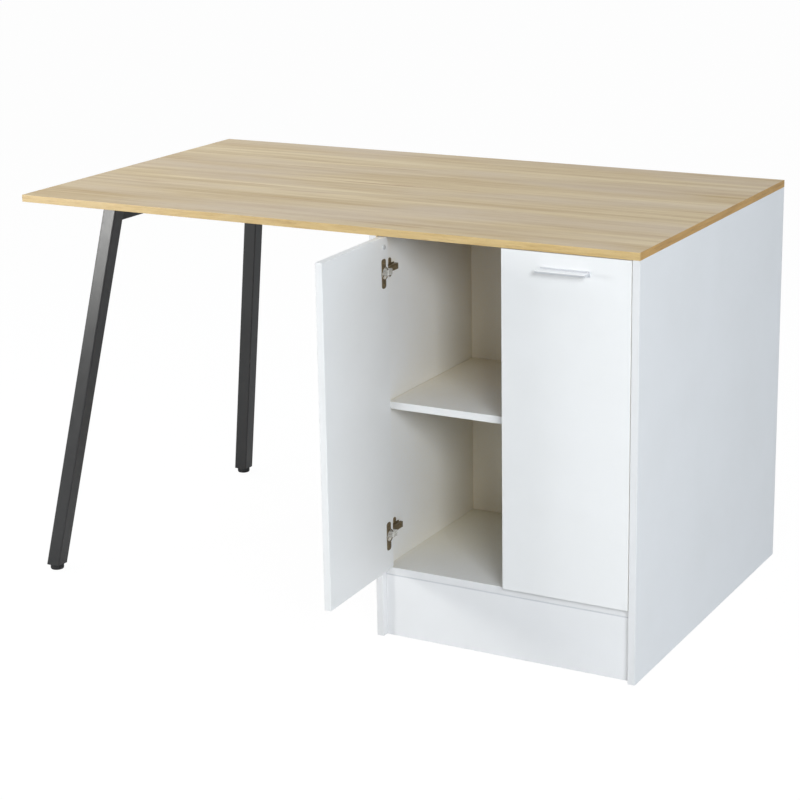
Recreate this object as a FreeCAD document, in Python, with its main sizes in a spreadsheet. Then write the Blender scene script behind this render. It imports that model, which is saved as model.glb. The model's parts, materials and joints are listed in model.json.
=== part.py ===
import FreeCAD, Part
import os
import re

import Sketcher

Vector = FreeCAD.Vector
Rotation = FreeCAD.Rotation

# Driving sizes, lengths in millimetres and angles in degrees
SIZES = {
    # Worktop
    "worktop_length": 1500,
    "worktop_depth": 850,
    "overall_height": 900,
    "worktop_thickness": 16,
    "edging_thickness": 1,
    "edging_radius": 0.5,
    # Cabinet boards
    "cabinet_width": 600,
    "board_thickness": 16,
    "board_edge_radius": 0.8,
    "plinth_height": 140,
    "plinth_recess": 16,
    "divider_setback": 430,
    "top_rail_width": 80,
    "top_rail_setback": 70,
    "shelf_top": 520,
    "shelf_setback": 38,
    "shelf_play": 0.8,
    # Fixings between the boards
    "dowel_radius": 4,
    "dowel_in_panel": 11,
    "dowel_in_board": 21,
    "cam_bolt_radius": 3,
    "cam_bolt_in_panel": 10.5,
    "cam_distance": 24,
    "cam_radius": 7.5,
    "cam_depth": 12.5,
    "floor_dowel_inset": 60,
    "floor_cam_inset": 130,
    "rail_fixing_offset": 20,
    "divider_dowel_inset": 120,
    "shelf_pin_radius": 2.5,
    "shelf_pin_in_panel": 9,
    "shelf_pin_inset": 60,
    "shelf_pin_tongue_length": 9.5,
    "shelf_pin_tongue_width": 8,
    "shelf_pin_tongue_thickness": 3,
    "worktop_screw_inset": 100,
    "worktop_screw_radius": 2,
    "worktop_screw_grip": 10,
    "worktop_screw_head_radius": 4.2,
    "worktop_screw_head_height": 2.4,
    # Doors
    "door_thickness": 15.5,
    "door_gap": 1.5,
    "door_top_gap": 1.2,
    "door_bottom_gap": 3,
    "meeting_gap": 3.2,
    "door_edge_radius": 1.2,
    "left_door_angle": 88,
    "buffer_radius": 4.5,
    "buffer_edge_distance": 18,
    "buffer_drop": 21,
    "buffer_height": 2.8,
    # Handles
    "handle_length": 107,
    "handle_reach": 28,
    "handle_thickness": 2.2,
    "handle_lip": 4.4,
    "handle_upstand": 2.6,
    "handle_flange": 9.2,
    "handle_drop": 32,
    "handle_edge_radius": 0.9,
    "handle_screw_pitch": 64,
    "handle_screw_radius": 1.6,
    "handle_screw_grip": 10.2,
    "handle_screw_head_radius": 2.5,
    "handle_screw_head_height": 1.7,
    # Hinges
    "hinge_inset": 76,
    "pin_from_edge": 8.5,
    "pin_depth": 5.5,
    "pin_radius": 1.5,
    "pin_play": 0.06,
    "cup_edge_distance": 2.5,
    "cup_radius": 13.5,
    "cup_wall": 0.85,
    "cup_depth": 13.5,
    "cup_rim": 0.6,
    "lug_gap": 0.7,
    "lug_width": 6.4,
    "lug_height": 7.4,
    "pin_grip": 2,
    "flange_length": 62,
    "flange_width": 17.5,
    "flange_offset": 4.8,
    "flange_thickness": 1.3,
    "flange_corner_radius": 6,
    "flange_screw_pitch": 46,
    "cup_screw_radius": 1.75,
    "cup_screw_grip": 10.8,
    "cup_screw_head_radius": 3.6,
    "cup_screw_head_height": 1.6,
    "eye_radius": 2.3,
    "neck_thickness": 2.5,
    "neck_height": 12.4,
    "neck_slot_height": 1.6,
    "neck_slot_inset": 4.2,
    "neck_reach": 15.8,
    "neck_rise": 17,
    "neck_bend_radius": 1.1,
    "arm_thickness": 6.2,
    "arm_length": 56,
    "arm_height": 12.5,
    "arm_edge_radius": 1.4,
    "plate_thickness": 2.1,
    "plate_setback": 55,
    "plate_length": 34,
    "plate_height": 17,
    "plate_boss_height": 11.5,
    "plate_boss_thickness": 1.9,
    "wing_length": 40,
    "wing_width": 9,
    "wing_corner_radius": 4,
    "wing_screw_pitch": 26,
    "plate_screw_radius": 1.8,
    "plate_screw_grip": 12,
    "plate_screw_head_radius": 3,
    "plate_screw_head_height": 1.9,
    "arm_screw_offset": 9,
    "arm_screw_radius": 2.3,
    "arm_screw_head_radius": 4.1,
    "arm_screw_head_height": 2.2,
    # Leg frame
    "leg_tube": 35,
    "leg_tube_radius": 3.2,
    "leg_wall": 1.5,
    "leg_foot_inset": 1.2,
    "leg_top_inset_across": 147,
    "leg_top_inset_deep": 111,
    "cross_rail_height": 50,
    "cross_rail_width": 26,
    "mount_plate_thickness": 4,
    "mount_plate_margin": 28,
    "mount_plate_length": 118,
    "mount_plate_lead": 7.5,
    "mount_screw_inset": 16.5,
    "leg_screw_radius": 2.4,
    "leg_screw_grip": 11.5,
    "leg_screw_head_radius": 4.6,
    "leg_screw_head_height": 2.8,
    # Feet
    "foot_height": 12.2,
    "foot_radius": 15.4,
    "foot_edge_radius": 2,
    "foot_gap": 0.35,
    "insert_flange": 1.8,
    "plug_height": 25,
    "stem_radius": 3.9,
    "stem_length": 23,
    "stem_play": 0.08,
    # Clearances and cutting allowance
    "hole_play": 0.05,
    "overrun": 1.3,
}

# Places and lengths worked out from the driving sizes
PLACES = {
    "left_end": "-worktop_length / 2",
    "right_face": "worktop_length / 2",
    "panel_height": "overall_height - worktop_thickness",
    "cabinet_left": "right_face - cabinet_width",
    "inner_left": "cabinet_left + board_thickness",
    "inner_right": "right_face - board_thickness",
    "inner_width": "cabinet_width - 2 * board_thickness",
    "door_width": "(inner_width - 2 * door_gap - meeting_gap) / 2",
    "door_bottom": "plinth_height + board_thickness + door_bottom_gap",
    "door_height": "panel_height - door_top_gap - door_bottom",
    "door_middle": "door_bottom + door_height / 2",
    "door_swing": "(door_width - pin_from_edge) * sin(left_door_angle)",
    "door_reach": "door_swing + pin_depth * cos(left_door_angle) - pin_depth",
    "front_face": "(door_reach - worktop_depth) / 2",
    "rear_face": "front_face + worktop_depth",
    "floor_front": "front_face + plinth_recess",
    "floor_rear": "rear_face - plinth_recess",
    "floor_level": "plinth_height + board_thickness / 2",
    "floor_top": "plinth_height + board_thickness",
    "plinth_level": "plinth_height / 2",
    "rail_bottom": "panel_height - board_thickness",
    "rail_level": "panel_height - board_thickness / 2",
    "front_rail_start": "front_face + top_rail_setback",
    "front_rail_middle": "front_rail_start + top_rail_width / 2",
    "rear_rail_start": "floor_rear - top_rail_width",
    "rear_rail_middle": "rear_rail_start + top_rail_width / 2",
    "divider_front": "front_face + divider_setback",
    "divider_rear": "divider_front + board_thickness",
    "divider_middle": "divider_front + board_thickness / 2",
    "shelf_bottom": "shelf_top - board_thickness",
    "shelf_width": "inner_width - 2 * shelf_play",
    "front_shelf_start": "front_face + shelf_setback",
    "front_shelf_depth": "divider_front - shelf_play - front_shelf_start",
    "rear_shelf_start": "divider_rear + shelf_play",
    "rear_shelf_depth": "rear_face - shelf_setback - rear_shelf_start",
    "pin_y": "front_face + pin_depth",
    "left_pin_x": "inner_left + door_gap + pin_from_edge",
    "right_pin_x": "inner_right - door_gap - pin_from_edge",
    "hinge_rise": "door_height / 2 - hinge_inset",
    "upper_hinge": "door_middle + hinge_rise",
    "lower_hinge": "door_middle - hinge_rise",
    "door_inside": "door_thickness - pin_depth",
    "cup_across": "cup_edge_distance + cup_radius - pin_from_edge",
    "cup_floor": "door_inside - cup_depth",
    "flange_across": "cup_across + flange_offset",
    "lug_start": "neck_height / 2 + lug_gap",
    "pin_length": "2 * (lug_start + pin_grip)",
    "panel_side": "-(door_gap + pin_from_edge)",
    "plate_top": "panel_side + plate_thickness",
    "boss_top": "plate_top + plate_boss_thickness",
    "arm_side": "boss_top + arm_thickness",
    "arm_start": "neck_rise - neck_thickness",
    "plate_across": "plate_setback - pin_depth",
    "arm_screw_across": "plate_across + arm_screw_offset",
    "handle_across": "door_width / 2 - pin_from_edge",
    "handle_level": "door_bottom + door_height - handle_drop",
    "handle_screw_level": "-(handle_thickness + handle_flange) / 2",
    "leg_base": "foot_height + insert_flange",
    "leg_top": "panel_height - mount_plate_thickness",
    "leg_rise": "leg_top - leg_base",
    "leg_lean_across": "leg_top_inset_across - leg_foot_inset",
    "leg_lean_deep": "leg_top_inset_deep - leg_foot_inset",
    "leg_middle_across": "left_end + leg_top_inset_across + leg_tube / 2",
    "foot_across": "left_end + leg_foot_inset + leg_tube / 2",
    "foot_deep": "leg_foot_inset + leg_tube / 2",
    "tube_inside": "leg_tube - 2 * leg_wall",
    "tube_inside_radius": "leg_tube_radius - leg_wall",
    "plug_width": "tube_inside - 2 * hole_play",
    "rail_inset": "leg_top_inset_deep + leg_tube - leg_lean_deep * cross_rail_height / leg_rise",
    "mount_plate_width": "leg_tube + 2 * mount_plate_margin",
    "mount_plate_inset": "leg_top_inset_deep - mount_plate_lead",
}

ORIGIN = ("0", "0", "0")

# Turns that point a rod's length along each way
TURNS = {
    "+x": Rotation(Vector(0, 1, 0), 90),
    "-x": Rotation(Vector(0, 1, 0), -90),
    "+y": Rotation(Vector(1, 0, 0), -90),
    "-y": Rotation(Vector(1, 0, 0), 90),
    "+z": Rotation(),
    "-z": Rotation(Vector(1, 0, 0), 180),
}

doc = FreeCAD.newDocument("kitchen_island")
sheet = doc.addObject("Spreadsheet::Sheet", "sizes")
for row, (alias, number) in enumerate(SIZES.items(), 1):
    sheet.set(f"A{row}", alias)
    sheet.set(f"B{row}", str(number))
    sheet.setAlias(f"B{row}", alias)
doc.recompute()

nodes = []


def formula(text):
    """Text as an expression on the sheet, with the worked-out places written in full."""
    def word(match):
        name = match.group(0)
        if name in PLACES:
            return "(" + formula(PLACES[name]) + ")"
        return "sizes." + name if name in SIZES else name
    return re.sub(r"[a-z][a-z_]*", word, text)


def value(text):
    """The number a formula gives at the sheet's present sizes."""
    return float(sheet.evalExpression(formula(text)))


def bind(obj, prop, text):
    """Tie a property to a formula."""
    obj.setExpression(prop, formula(text))


def put(obj, place, turn=None):
    """Give an object its place and turn."""
    if turn is not None:
        obj.Placement = FreeCAD.Placement(Vector(), turn)
    for letter, text in zip("xyz", place):
        if text != "0":
            bind(obj, "Placement.Base." + letter, text)
    return obj


def node(obj, label):
    """Mark an object as one of the part's pieces, under its own label."""
    obj.Label = label
    nodes.append(obj)
    return obj


def box(name, size, low):
    """A block from its low corner."""
    obj = doc.addObject("Part::Box", name)
    for prop, text in zip(("Length", "Width", "Height"), size):
        bind(obj, prop, text)
    return put(obj, low)


def rod(name, start, way, radius, length):
    """A round bar from its start along one of the six ways."""
    obj = doc.addObject("Part::Cylinder", name)
    bind(obj, "Radius", radius)
    bind(obj, "Height", length)
    return put(obj, start, TURNS[way])


def moved(place, way, text):
    """A place moved along one of the six ways."""
    return tuple(f"{old} {way[0]} ({text})" if letter == way[1] else old
                 for letter, old in zip("xyz", place))


def bore(name, mouth, way, radius, depth):
    """A cutting rod that starts a little outside the mouth of its hole."""
    back = moved(mouth, way, "-overrun")
    return rod(name, back, way, radius, f"{depth} + overrun")


def fuse(name, parts):
    """Several solids joined as one."""
    obj = doc.addObject("Part::MultiFuse", name)
    obj.Shapes = parts
    return obj


def cut(name, base, tools):
    """A solid less its tools."""
    obj = doc.addObject("Part::Cut", name)
    obj.Base = base
    obj.Tool = tools[0] if len(tools) == 1 else fuse(name + "_tools", tools)
    return obj


def group(label, members, place=ORIGIN, turn=None):
    """One piece made of several equal solids."""
    obj = doc.addObject("Part::Compound", label + "_set")
    obj.Links = members
    return node(put(obj, place, turn), label)


def soften(name, base, radius, pick):
    """Round the edges that the test picks."""
    doc.recompute()
    size = value(radius)
    obj = doc.addObject("Part::Fillet", name)
    obj.Base = base
    obj.Edges = [(n, size, size) for n, edge in enumerate(base.Shape.Edges, 1) if pick(edge)]
    return obj


def every(edge):
    """Pick every edge."""
    return True


def along(letter):
    """Pick the straight edges that run along one axis."""
    def pick(edge):
        if not isinstance(edge.Curve, Part.Line):
            return False
        return abs(getattr(edge.Curve.Direction, letter)) > abs(edge.Curve.Direction.Length) / 2
    return pick


def ring(edge):
    """Pick the round edges."""
    return isinstance(edge.Curve, Part.Circle)


def outer_ring_of_head(edge):
    """Pick the round edge on a head's outer side, which lies below zero."""
    return ring(edge) and edge.Curve.Center.z < 0


def screw(name, place, way, head_radius, head_height, radius, length):
    """A screw whose head rests at its place and whose shank goes on along the way."""
    head = rod(name + "_head", ("0", "0", f"-{head_height}"), "+z", head_radius, head_height)
    shank = rod(name + "_shank", ORIGIN, "+z", radius, length)
    domed = soften(name + "_dome", head, f"{head_height} / 2", outer_ring_of_head)
    return put(fuse(name, [domed, shank]), place, TURNS[way])


# Sketches

def sketch_on(body, role):
    """A sketch on one of the body's own origin planes."""
    sketch = body.newObject("Sketcher::SketchObject", body.Name + "_sketch")
    plane = [item for item in body.Origin.OriginFeatures if item.Role == role][0]
    sketch.AttachmentSupport = [(plane, "")]
    sketch.MapMode = "FlatFace"
    return sketch


def hold(sketch, line, end, point):
    """Hold one end of a line at a point given by formulas."""
    for kind, axis, text in zip(("DistanceX", "DistanceY"), (-2, -1), point):
        if text == "0":
            sketch.addConstraint(Sketcher.Constraint("PointOnObject", line, end, axis))
        else:
            rule = Sketcher.Constraint(kind, -1, 1, line, end, value(text))
            bind(sketch, f"Constraints[{sketch.addConstraint(rule)}]", text)


def spot(point):
    """A point's present place in its sketch."""
    return Vector(value(point[0]), value(point[1]), 0)


def outline(sketch, points):
    """A closed outline of straight lines."""
    first = sketch.GeometryCount
    count = len(points)
    for n in range(count):
        line = Part.LineSegment(spot(points[n]), spot(points[(n + 1) % count]))
        sketch.addGeometry(line, False)
    for n in range(count):
        after = first + (n + 1) % count
        sketch.addConstraint(Sketcher.Constraint("Coincident", first + n, 2, after, 1))
        hold(sketch, first + n, 1, points[n])


def rounded(sketch, width, height, radius):
    """A rectangle with round corners about the sketch's origin."""
    first = sketch.GeometryCount
    across = f"({width}) / 2"
    up = f"({height}) / 2"
    short_across = f"({across} - ({radius}))"
    short_up = f"({up} - ({radius}))"
    sides = [
        ((f"-{short_across}", f"-{up}"), (short_across, f"-{up}")),
        ((across, f"-{short_up}"), (across, short_up)),
        ((short_across, up), (f"-{short_across}", up)),
        ((f"-{across}", short_up), (f"-{across}", f"-{short_up}")),
    ]
    centres = [
        (short_across, f"-{short_up}"),
        (short_across, short_up),
        (f"-{short_across}", short_up),
        (f"-{short_across}", f"-{short_up}"),
    ]
    for start, end in sides:
        sketch.addGeometry(Part.LineSegment(spot(start), spot(end)), False)
    for n, (start, end) in enumerate(sides):
        hold(sketch, first + n, 1, start)
        hold(sketch, first + n, 2, end)
    for n, centre in enumerate(centres):
        begin = spot(sides[n][1]) - spot(centre)
        turned = Rotation(Vector(0, 0, 1), 45).multVec(begin) + spot(centre)
        arc = Part.Arc(spot(sides[n][1]), turned, spot(sides[(n + 1) % 4][0]))
        index = sketch.addGeometry(arc, False)
        sketch.addConstraint(Sketcher.Constraint("Coincident", first + n, 2, index, 1))
        sketch.addConstraint(Sketcher.Constraint("Coincident", index, 2, first + (n + 1) % 4, 1))
        rule = Sketcher.Constraint("Radius", index, value(radius))
        bind(sketch, f"Constraints[{sketch.addConstraint(rule)}]", radius)


def pad(body, sketch, length):
    """The body's sketch pulled out to a length."""
    obj = body.newObject("PartDesign::Pad", body.Name + "_pad")
    obj.Profile = sketch
    bind(obj, "Length", length)
    return obj


# Boards

def local(place, corner):
    """A place seen from a board's low corner."""
    return tuple(f"{text} - ({low})" for text, low in zip(place, corner))


def board(label, size, corner, holes=()):
    """A board with softened edges and its drilled holes."""
    blank = box(label + "_blank", size, ORIGIN)
    piece = soften(label + "_edges", blank, "board_edge_radius", every)
    if holes:
        tools = [bore(f"{label}_hole_{n}", local(mouth, corner), way, radius, depth)
                 for n, (mouth, way, radius, depth) in enumerate(holes, 1)]
        piece = cut(label + "_drilled", piece, tools)
    return node(put(piece, corner), label)


# Where the dowels and cam bolts sit, as depth and height
DOWELS = {
    "floor_panel": [("floor_front + floor_dowel_inset", "floor_level"),
                    ("floor_rear - floor_dowel_inset", "floor_level")],
    "front_plinth": [("floor_front + board_thickness / 2", "plinth_level")],
    "rear_plinth": [("floor_rear - board_thickness / 2", "plinth_level")],
    "divider_panel": [("divider_middle", "floor_top + divider_dowel_inset"),
                      ("divider_middle", "panel_height - divider_dowel_inset")],
    "front_top_rail": [("front_rail_middle - rail_fixing_offset", "rail_level")],
    "rear_top_rail": [("rear_rail_middle + rail_fixing_offset", "rail_level")],
}
CAMS = {
    "floor_panel": [("floor_front + floor_cam_inset", "floor_level"),
                    ("floor_rear - floor_cam_inset", "floor_level")],
    "front_top_rail": [("front_rail_middle + rail_fixing_offset", "rail_level")],
    "rear_top_rail": [("rear_rail_middle - rail_fixing_offset", "rail_level")],
}
SHELF_PINS = [
    "front_shelf_start + shelf_pin_inset",
    "divider_front - shelf_pin_inset",
    "divider_rear + shelf_pin_inset",
    "rear_face - shelf_setback - shelf_pin_inset",
]
SHELF_PIN_LEVEL = "shelf_bottom - shelf_pin_tongue_thickness / 2"

# The two inner side faces, each with the way into the cabinet and the way into the panel
SIDES = {
    "left": ("inner_left", "+x", "-x"),
    "right": ("inner_right", "-x", "+x"),
}


def end_holes(label):
    """Holes in both ends of a board for its dowels, cam bolts and cam housings."""
    holes = []
    for face, inward, _ in SIDES.values():
        for deep, level in DOWELS.get(label, []):
            holes.append(((face, deep, level), inward, "dowel_radius + hole_play", "dowel_in_board"))
        for deep, level in CAMS.get(label, []):
            mouth = (face, deep, level)
            holes.append((mouth, inward, "cam_bolt_radius + hole_play", "cam_distance"))
            across = moved(mouth, inward, "cam_distance")[0]
            below = (across, deep, f"{level} - board_thickness / 2")
            holes.append((below, "+z", "cam_radius + hole_play", "cam_depth"))
    return holes


def panel_holes(side):
    """Holes in the inner face of a side panel."""
    face, _, outward = SIDES[side]
    holes = []
    for spots in DOWELS.values():
        for deep, level in spots:
            holes.append(((face, deep, level), outward, "dowel_radius + hole_play", "dowel_in_panel"))
    for spots in CAMS.values():
        for deep, level in spots:
            mouth = (face, deep, level)
            holes.append((mouth, outward, "cam_bolt_radius + hole_play", "cam_bolt_in_panel"))
    for deep in SHELF_PINS:
        mouth = (face, deep, SHELF_PIN_LEVEL)
        holes.append((mouth, outward, "shelf_pin_radius + hole_play", "shelf_pin_in_panel"))
    for hinge in ("upper_hinge", "lower_hinge"):
        for sign in "+-":
            mouth = (face, "pin_y + plate_across", f"{hinge} {sign} wing_screw_pitch / 2")
            holes.append((mouth, outward, "plate_screw_radius + hole_play", "plate_screw_grip"))
    return holes


WORKTOP_SCREWS = [
    (across, deep)
    for across in ("inner_left + worktop_screw_inset", "inner_right - worktop_screw_inset")
    for deep in ("front_rail_middle", "rear_rail_middle")
]

# The two leg ends, each with the face it is measured from and the sign that leads inwards
LEGS = {
    "front": ("front_face", "+"),
    "rear": ("rear_face", "-"),
}


def leg_screw_spots(end):
    """Where the screws of one mounting plate sit, as width and depth."""
    face, sign = LEGS[end]
    near = f"{face} {sign} (mount_plate_inset + mount_screw_inset)"
    far = f"{face} {sign} (mount_plate_inset + mount_plate_length - mount_screw_inset)"
    side = "(leg_tube + mount_plate_margin) / 2"
    return [(f"leg_middle_across {hand} {side}", deep) for hand in "+-" for deep in (near, far)]


# Worktop and its edge bands
worktop_low = ("left_end + edging_thickness", "front_face + edging_thickness", "panel_height")
worktop_size = ("worktop_length - 2 * edging_thickness",
                "worktop_depth - 2 * edging_thickness",
                "worktop_thickness")
worktop_core = box("worktop_core", worktop_size, ORIGIN)
worktop_tools = []
for n, (across, deep) in enumerate(WORKTOP_SCREWS, 1):
    mouth = local((across, deep, "panel_height"), worktop_low)
    hole = bore(f"worktop_pilot_{n}", mouth, "+z", "worktop_screw_radius + hole_play", "worktop_screw_grip")
    worktop_tools.append(hole)
for end in LEGS:
    for n, (across, deep) in enumerate(leg_screw_spots(end), 1):
        mouth = local((across, deep, "panel_height"), worktop_low)
        hole = bore(f"{end}_leg_pilot_{n}", mouth, "+z", "leg_screw_radius + hole_play", "leg_screw_grip")
        worktop_tools.append(hole)
node(put(cut("worktop_drilled", worktop_core, worktop_tools), worktop_low), "worktop_board")


def edging(label, size, corner, letter, pick_outer):
    """An edge band with its two outer long edges rounded."""
    strip = box(label + "_strip", size, ORIGIN)
    run = along(letter)

    def pick(edge):
        return run(edge) and pick_outer(edge.CenterOfMass)
    piece = soften(label + "_soft", strip, "edging_radius", pick)
    return node(put(piece, corner), label)


half_band = value("edging_thickness") / 2
long_band = ("worktop_length", "edging_thickness", "worktop_thickness")
short_band = ("edging_thickness", "worktop_depth - 2 * edging_thickness", "worktop_thickness")
edging("worktop_front_edging", long_band, ("left_end", "front_face", "panel_height"),
       "x", lambda middle: middle.y < half_band)
edging("worktop_rear_edging", long_band,
       ("left_end", "rear_face - edging_thickness", "panel_height"),
       "x", lambda middle: middle.y > half_band)
edging("worktop_left_edging", short_band,
       ("left_end", "front_face + edging_thickness", "panel_height"),
       "y", lambda middle: middle.x < half_band)
edging("worktop_right_edging", short_band,
       ("right_face - edging_thickness", "front_face + edging_thickness", "panel_height"),
       "y", lambda middle: middle.x > half_band)

# Cabinet boards
panel_size = ("board_thickness", "worktop_depth", "panel_height")
board("left_side_panel", panel_size, ("cabinet_left", "front_face", "0"), panel_holes("left"))
board("right_side_panel", panel_size, ("inner_right", "front_face", "0"), panel_holes("right"))
board("floor_panel", ("inner_width", "floor_rear - floor_front", "board_thickness"),
      ("inner_left", "floor_front", "plinth_height"), end_holes("floor_panel"))
plinth_size = ("inner_width", "board_thickness", "plinth_height")
board("front_plinth", plinth_size, ("inner_left", "floor_front", "0"), end_holes("front_plinth"))
board("rear_plinth", plinth_size, ("inner_left", "floor_rear - board_thickness", "0"),
      end_holes("rear_plinth"))
board("divider_panel", ("inner_width", "board_thickness", "panel_height - floor_top"),
      ("inner_left", "divider_front", "floor_top"), end_holes("divider_panel"))
rail_size = ("inner_width", "top_rail_width", "board_thickness")
for end, start in (("front", "front_rail_start"), ("rear", "rear_rail_start")):
    label = end + "_top_rail"
    screw_holes = [((across, deep, "rail_bottom"), "+z",
                    "worktop_screw_radius + hole_play", "board_thickness + overrun")
                   for across, deep in WORKTOP_SCREWS if deep.startswith(end)]
    board(label, rail_size, ("inner_left", start, "rail_bottom"), end_holes(label) + screw_holes)
board("front_shelf", ("shelf_width", "front_shelf_depth", "board_thickness"),
      ("inner_left + shelf_play", "front_shelf_start", "shelf_bottom"))
board("rear_shelf", ("shelf_width", "rear_shelf_depth", "board_thickness"),
      ("inner_left + shelf_play", "rear_shelf_start", "shelf_bottom"))

# Dowels, cam bolts, cam housings and shelf pins
dowels = []
bolts = []
housings = []
pegs = []
for side, (face, inward, outward) in SIDES.items():
    for n, (deep, level) in enumerate((spot for spots in DOWELS.values() for spot in spots), 1):
        start = moved((face, deep, level), outward, "dowel_in_panel")
        length = "dowel_in_panel + dowel_in_board"
        dowels.append(rod(f"{side}_dowel_{n}", start, inward, "dowel_radius", length))
    for n, (deep, level) in enumerate((spot for spots in CAMS.values() for spot in spots), 1):
        start = moved((face, deep, level), outward, "cam_bolt_in_panel")
        length = "cam_bolt_in_panel + cam_distance"
        bolts.append(rod(f"{side}_cam_bolt_{n}", start, inward, "cam_bolt_radius", length))
        centre = moved((face, deep, f"{level} - board_thickness / 2"), inward, "cam_distance")
        drum = rod(f"{side}_cam_drum_{n}", centre, "+z", "cam_radius", "cam_depth")
        mouth = moved((face, deep, level), inward, "cam_distance - cam_radius")
        slot = bore(f"{side}_cam_slot_{n}", mouth, inward, "cam_bolt_radius + hole_play", "cam_radius")
        housings.append(cut(f"{side}_cam_{n}", drum, [slot]))
    for n, deep in enumerate(SHELF_PINS, 1):
        level = SHELF_PIN_LEVEL
        start = moved((face, deep, level), outward, "shelf_pin_in_panel")
        peg = rod(f"{side}_peg_{n}", start, inward, "shelf_pin_radius", "shelf_pin_in_panel")
        across = face if side == "left" else f"{face} - shelf_pin_tongue_length"
        low = (across, f"{deep} - shelf_pin_tongue_width / 2", "shelf_bottom - shelf_pin_tongue_thickness")
        size = ("shelf_pin_tongue_length", "shelf_pin_tongue_width", "shelf_pin_tongue_thickness")
        tongue = box(f"{side}_tongue_{n}", size, low)
        pegs.append(fuse(f"{side}_shelf_pin_{n}", [peg, tongue]))
group("carcass_dowels", dowels)
group("cam_bolts", bolts)
group("cam_housings", housings)
group("shelf_pins", pegs)
group("worktop_screws", [
    screw(f"worktop_screw_{n}", (across, deep, "rail_bottom"), "+z",
          "worktop_screw_head_radius", "worktop_screw_head_height",
          "worktop_screw_radius", "board_thickness + worktop_screw_grip")
    for n, (across, deep) in enumerate(WORKTOP_SCREWS, 1)])

# Doors, each drawn round its hinge axis at half height, with the depth axis into the cabinet
DOORS = {
    "left": ("left_pin_x", Rotation(Vector(0, 0, 1), -value("left_door_angle")), "+"),
    "right": ("right_pin_x", Rotation(Vector(0, 1, 0), 180), "-"),
}


# The cup screws of both hinges of a door, as heights from its middle
CUP_SCREWS = [f"{hinge} hinge_rise {hand} flange_screw_pitch / 2" for hinge in "+-" for hand in "+-"]


def door(side):
    """A door with its cup bores, screw holes, buffer, handle and handle screws."""
    axis, turn, up = DOORS[side]
    name = side + "_door"
    low = ("-pin_from_edge", "-pin_depth", "-door_height / 2")
    blank = box(name + "_blank", ("door_width", "door_thickness", "door_height"), low)
    piece = soften(name + "_edges", blank, "door_edge_radius", every)
    tools = []
    for n, hinge in enumerate("+-", 1):
        mouth = ("cup_across", "door_inside", f"{hinge} hinge_rise")
        tools.append(bore(f"{name}_cup_bore_{n}", mouth, "-y", "cup_radius + hole_play", "cup_depth"))
    for n, level in enumerate(CUP_SCREWS, 1):
        mouth = ("flange_across", "door_inside", level)
        tools.append(bore(f"{name}_cup_pilot_{n}", mouth, "-y",
                          "cup_screw_radius + hole_play", "cup_screw_grip"))
    for n, hand in enumerate("+-", 1):
        level = f"{up} (door_height / 2 - handle_drop + handle_screw_level)"
        mouth = (f"handle_across {hand} handle_screw_pitch / 2", "-pin_depth", level)
        tools.append(bore(f"{name}_handle_pilot_{n}", mouth, "+y",
                          "handle_screw_radius + hole_play", "handle_screw_grip"))
    place = (axis, "pin_y", "door_middle")
    node(put(cut(name + "_drilled", piece, tools), place, turn), name)

    rest = ("buffer_edge_distance - pin_from_edge", "door_inside",
            f"{up} (door_height / 2 - buffer_drop)")
    stub = rod(name + "_buffer_stub", ORIGIN, "+y", "buffer_radius", "buffer_height")
    dome = soften(name + "_buffer_dome", stub, "buffer_height / 3",
                  lambda edge: ring(edge) and edge.Curve.Center.y > 0)
    put(dome, rest)
    group(name + "_buffer", [dome], place, turn)


def handle(side):
    """A folded tray handle with its screws, drawn from the door's outer face at its plate's level."""
    name = side + "_handle"
    body = doc.addObject("PartDesign::Body", name + "_body")
    sketch = sketch_on(body, "YZ_Plane")
    bind(sketch, "AttachmentOffset.Base.z", "-handle_length / 2")
    outline(sketch, [
        ("0", "handle_upstand"),
        ("-handle_thickness", "handle_upstand"),
        ("-handle_thickness", "0"),
        ("-handle_reach", "0"),
        ("-handle_reach", "-handle_lip"),
        ("handle_thickness - handle_reach", "-handle_lip"),
        ("handle_thickness - handle_reach", "-handle_thickness"),
        ("-handle_thickness", "-handle_thickness"),
        ("-handle_thickness", "-handle_flange"),
        ("0", "-handle_flange"),
    ])
    bar = pad(body, sketch, "handle_length")
    doc.recompute()
    reach = value("handle_reach")
    lip = value("handle_lip")
    outer = [f"Edge{n}" for n, edge in enumerate(bar.Shape.Edges, 1)
             if along("x")(edge) and edge.CenterOfMass.y < value("handle_thickness") / 2 - reach
             and edge.CenterOfMass.z > -lip / 2]
    bend = body.newObject("PartDesign::Fillet", name + "_bend")
    bend.Base = (bar, outer)
    bind(bend, "Radius", "handle_edge_radius")
    size = ("handle_thickness", "handle_reach - 2 * handle_thickness", "handle_lip - handle_thickness")
    ends = [box(f"{name}_end_{n}", size, (across, "handle_thickness - handle_reach", "-handle_lip"))
            for n, across in enumerate(("-handle_length / 2", "handle_length / 2 - handle_thickness"), 1)]
    closed = fuse(name + "_closed", [body] + ends)
    holes = []
    screws = []
    for n, hand in enumerate("+-", 1):
        across = f"{hand} handle_screw_pitch / 2"
        mouth = (across, "-handle_thickness", "handle_screw_level")
        holes.append(bore(f"{name}_hole_{n}", mouth, "+y",
                          "handle_screw_radius + hole_play", "handle_thickness + overrun"))
        screws.append(screw(f"{name}_screw_{n}", mouth, "+y",
                            "handle_screw_head_radius", "handle_screw_head_height",
                            "handle_screw_radius", "handle_thickness + handle_screw_grip"))
    if side == "left":
        place = ("left_pin_x + handle_across * cos(left_door_angle) - pin_depth * sin(left_door_angle)",
                 "pin_y - handle_across * sin(left_door_angle) - pin_depth * cos(left_door_angle)",
                 "handle_level")
        turn = DOORS["left"][1]
    else:
        place = ("right_pin_x - handle_across", "front_face", "handle_level")
        turn = Rotation()
    node(put(cut(name + "_drilled", closed, holes), place, turn), name)
    group(name + "_screws", screws, place, turn)


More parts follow.
